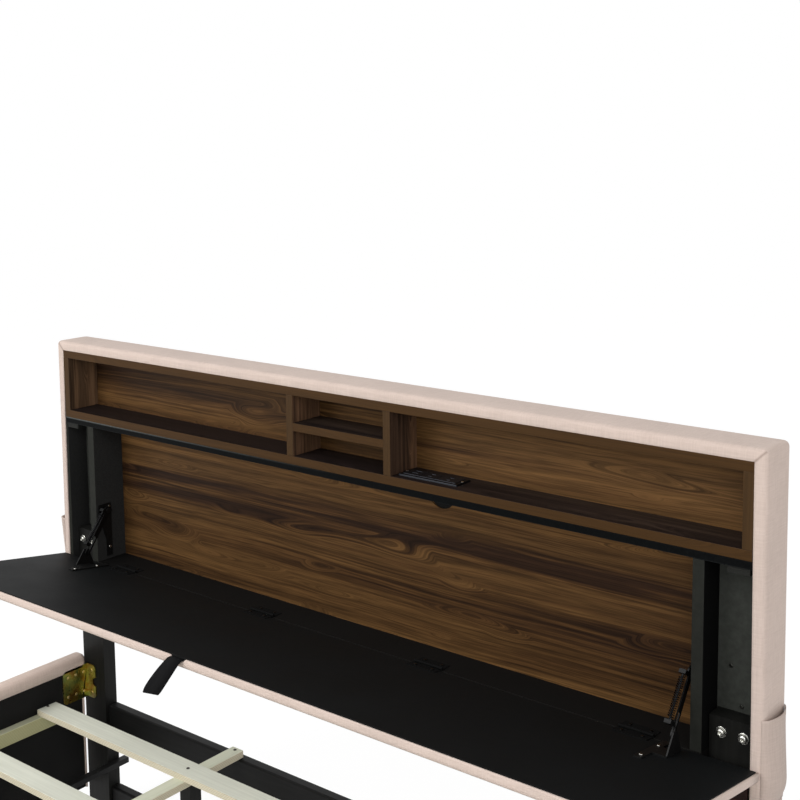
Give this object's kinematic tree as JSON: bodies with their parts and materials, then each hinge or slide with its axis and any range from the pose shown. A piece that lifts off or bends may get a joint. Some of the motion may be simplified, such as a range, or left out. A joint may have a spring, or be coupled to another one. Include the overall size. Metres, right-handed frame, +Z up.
{
  "type": "platform bed",
  "caption": "Upholstered platform bed with slats and a shallow storage headboard: walnut niche with a power outlet above a long compartment closed by a drop flap on spring stays.",
  "frame": {"origin": "on the floor, at the middle of the bed's length and width", "axes": "+X to the right seen from the foot end, +Y from foot to headboard, +Z up"},
  "size_m": [1.628, 2.17, 1.07],
  "materials": {
    "linen": "woven linen, matt",
    "walnut": "dark walnut, satin",
    "dark_walnut": "dark walnut, satin",
    "black_board": "black, matt",
    "hidden_board": "raw board",
    "black_lining": "non-woven, matt",
    "back_cloth": "non-woven, matt",
    "webbing": "woven webbing",
    "outlet_black": "semi-gloss",
    "outlet_face": "satin",
    "black_metal": "black, satin",
    "steel": "bright zinc",
    "zinc": "yellow zinc plate",
    "plywood": "pale plywood, raw",
    "glide": "matt"
  },
  "bodies": {
    "bed": {"side_panels": "hidden_board", "top_panel": "hidden_board", "headboard_cover": "linen", "back_panel": "walnut", "back_cloth": "back_cloth", "niche_top": "walnut", "niche_sides": "walnut", "outlet_housing": "outlet_black", "outlet_panels": "outlet_face", "outlet_screws": "steel", "shelf": "walnut", "cabinet_top": "black_board", "dividers": "walnut", "mid_shelf": "walnut", "inner_board_left": "black_board", "inner_board_right": "black_board", "floor_board": "black_board", "lower_front_board": "dark_walnut", "post_bolts": "steel", "stiles": "black_board", "pocket_left": "linen", "pocket_right": "linen", "magnetic_catches": "black_metal", "post_left": "black_board", "post_right": "black_board", "upper_cross_rails": "black_board", "lower_cross_rails": "black_board", "runners": "black_metal", "foot_posts": "black_board", "side_rail_left": "hidden_board", "side_rail_right": "hidden_board", "rail_cover_left": "linen", "rail_cover_right": "linen", "foot_rail": "hidden_board", "foot_cover": "linen", "rail_linings": "black_lining", "corner_brackets": "zinc", "cleats": "plywood", "slats": "plywood", "slat_screws": "steel", "supports": "plywood", "support_legs": "black_board", "glides": "glide", "hinge_leaves_cabinet": "black_metal", "hinge_pins": "steel", "stay_bases": "black_metal", "cabinet_screws": "steel", "bracket_screws": "zinc"},
    "flap": {"flap_cover": "linen", "flap_board": "hidden_board", "flap_liner": "black_board", "strike_plates": "steel", "hinge_leaves_flap": "black_metal", "pull_strap": "webbing", "stay_brackets": "black_metal", "flap_screws": "steel"},
    "stay_left": {"stay_arm_left": "black_metal", "stay_spring_left": "steel"},
    "stay_right": {"stay_arm_right": "black_metal", "stay_spring_right": "steel"}
  },
  "joints": [
    {"name": "flap_hinge", "type": "hinge", "parent": "bed", "child": "flap", "pos_m": [0, 1.0077, 0.6014], "axis": [-1, 0, 0], "range_deg": [0, 80.6]},
    {"name": "stay_left_pivot", "type": "hinge", "parent": "bed", "child": "stay_left", "pos_m": [-0.679, 1.027, 0.709], "axis": [1, 0, 0], "range_deg": [0, 41.68]},
    {"name": "stay_right_pivot", "type": "hinge", "parent": "bed", "child": "stay_right", "pos_m": [0.679, 1.027, 0.709], "axis": [1, 0, 0], "range_deg": [0, 41.68]}
  ],
  "couplings": [
    {"joint": "stay_left_pivot", "follows": "flap_hinge", "ratio": 0.51696},
    {"joint": "stay_right_pivot", "follows": "flap_hinge", "ratio": 0.51696}
  ]
}
